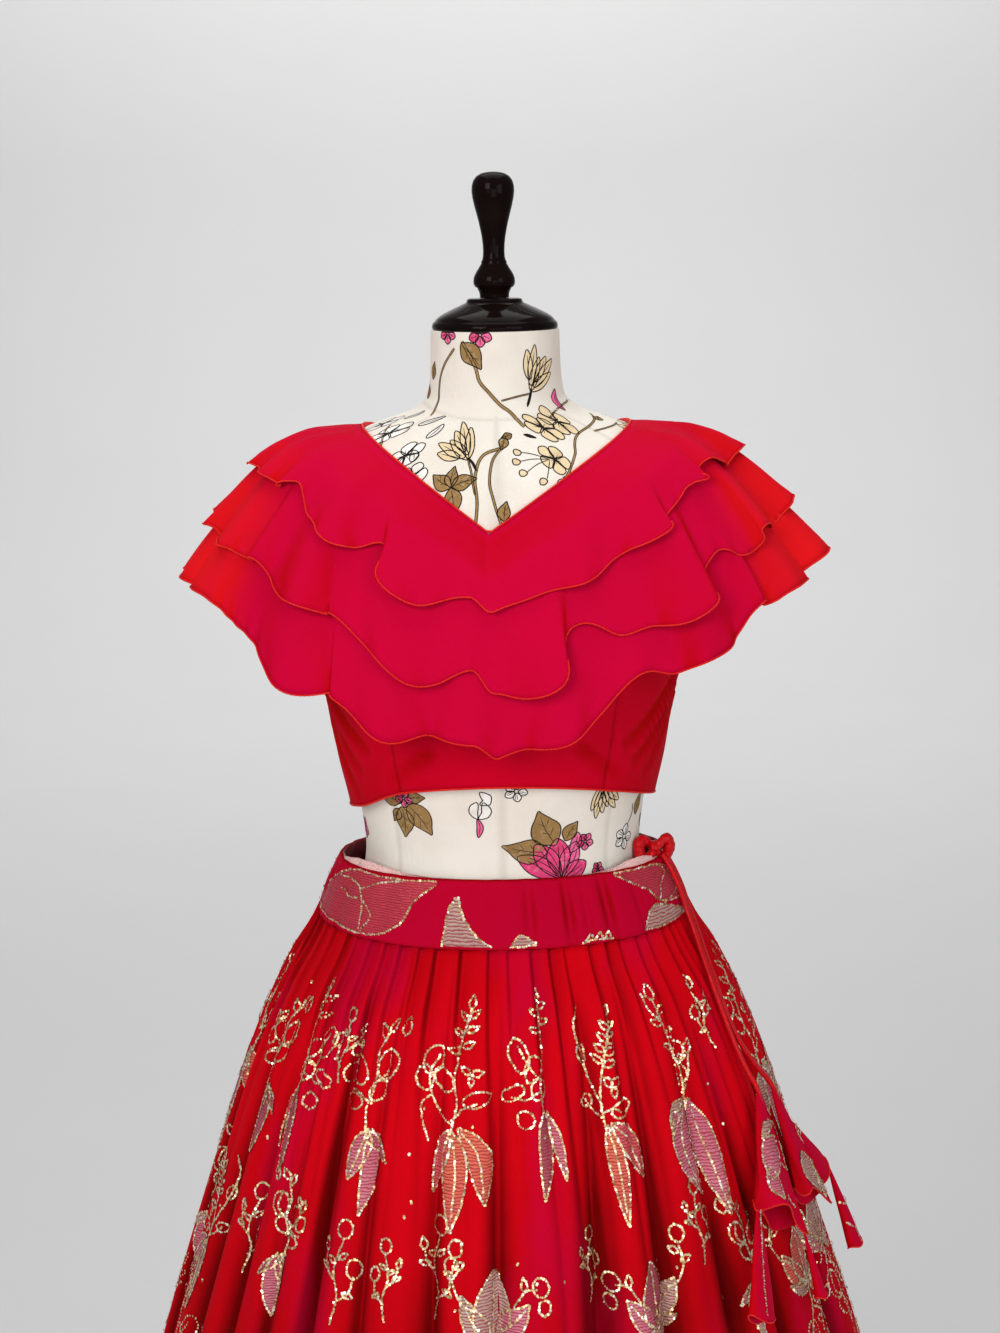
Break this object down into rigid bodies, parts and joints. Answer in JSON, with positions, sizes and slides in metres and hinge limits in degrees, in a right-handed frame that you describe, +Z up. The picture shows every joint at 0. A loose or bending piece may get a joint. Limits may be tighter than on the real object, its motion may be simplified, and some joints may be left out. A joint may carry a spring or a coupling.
{
  "type": "lehenga choli on a limbless dress form",
  "caption": "Pleated ankle-length skirt with waistband, drawstring and cloth tassels, and a cropped V-neck bodice with tiered ruffles, worn on a limbless dress form with a round stand.",
  "frame": {"origin": "centre of the stand's underside, on the floor", "axes": "+Z up the pole, -Y the wearer's front, +X the wearer's left, where the tie hangs"},
  "size_m": [0.8955, 0.8559, 1.606],
  "materials": {
    "red_georgette": "matt crepe georgette",
    "red_piping": "rolled georgette piping",
    "red_satin": "satin tube",
    "lining_net": "sheer net",
    "printed_cotton": "printed cotton cover",
    "black_lacquer": "gloss black lacquer",
    "black_metal": "satin black"
  },
  "bodies": {
    "root": {"choli_front_centre": "red_georgette", "choli_front_right": "red_georgette", "choli_front_left": "red_georgette", "choli_back_right": "red_georgette", "choli_back_left": "red_georgette", "ruffle_bottom": "red_georgette", "ruffle_middle": "red_georgette", "ruffle_top": "red_georgette", "waistband": "red_georgette", "skirt_front": "red_georgette", "skirt_back": "red_georgette", "tassel_bell_front": "red_georgette", "tassel_cone_front_low": "red_georgette", "tassel_cone_front_slim": "red_georgette", "tassel_bell_back": "red_georgette", "tassel_cone_back_high": "red_georgette", "tassel_cone_back_low": "red_georgette", "neck_binding": "red_piping", "tie_knot": "red_satin", "tie_cord_front": "red_satin", "tie_cord_back": "red_satin", "waist_lining": "lining_net", "form_torso": "printed_cotton", "neck_cap": "black_lacquer", "neck_handle": "black_lacquer", "stand_pole": "black_metal", "stand_base": "black_metal"}
  },
  "joints": []
}
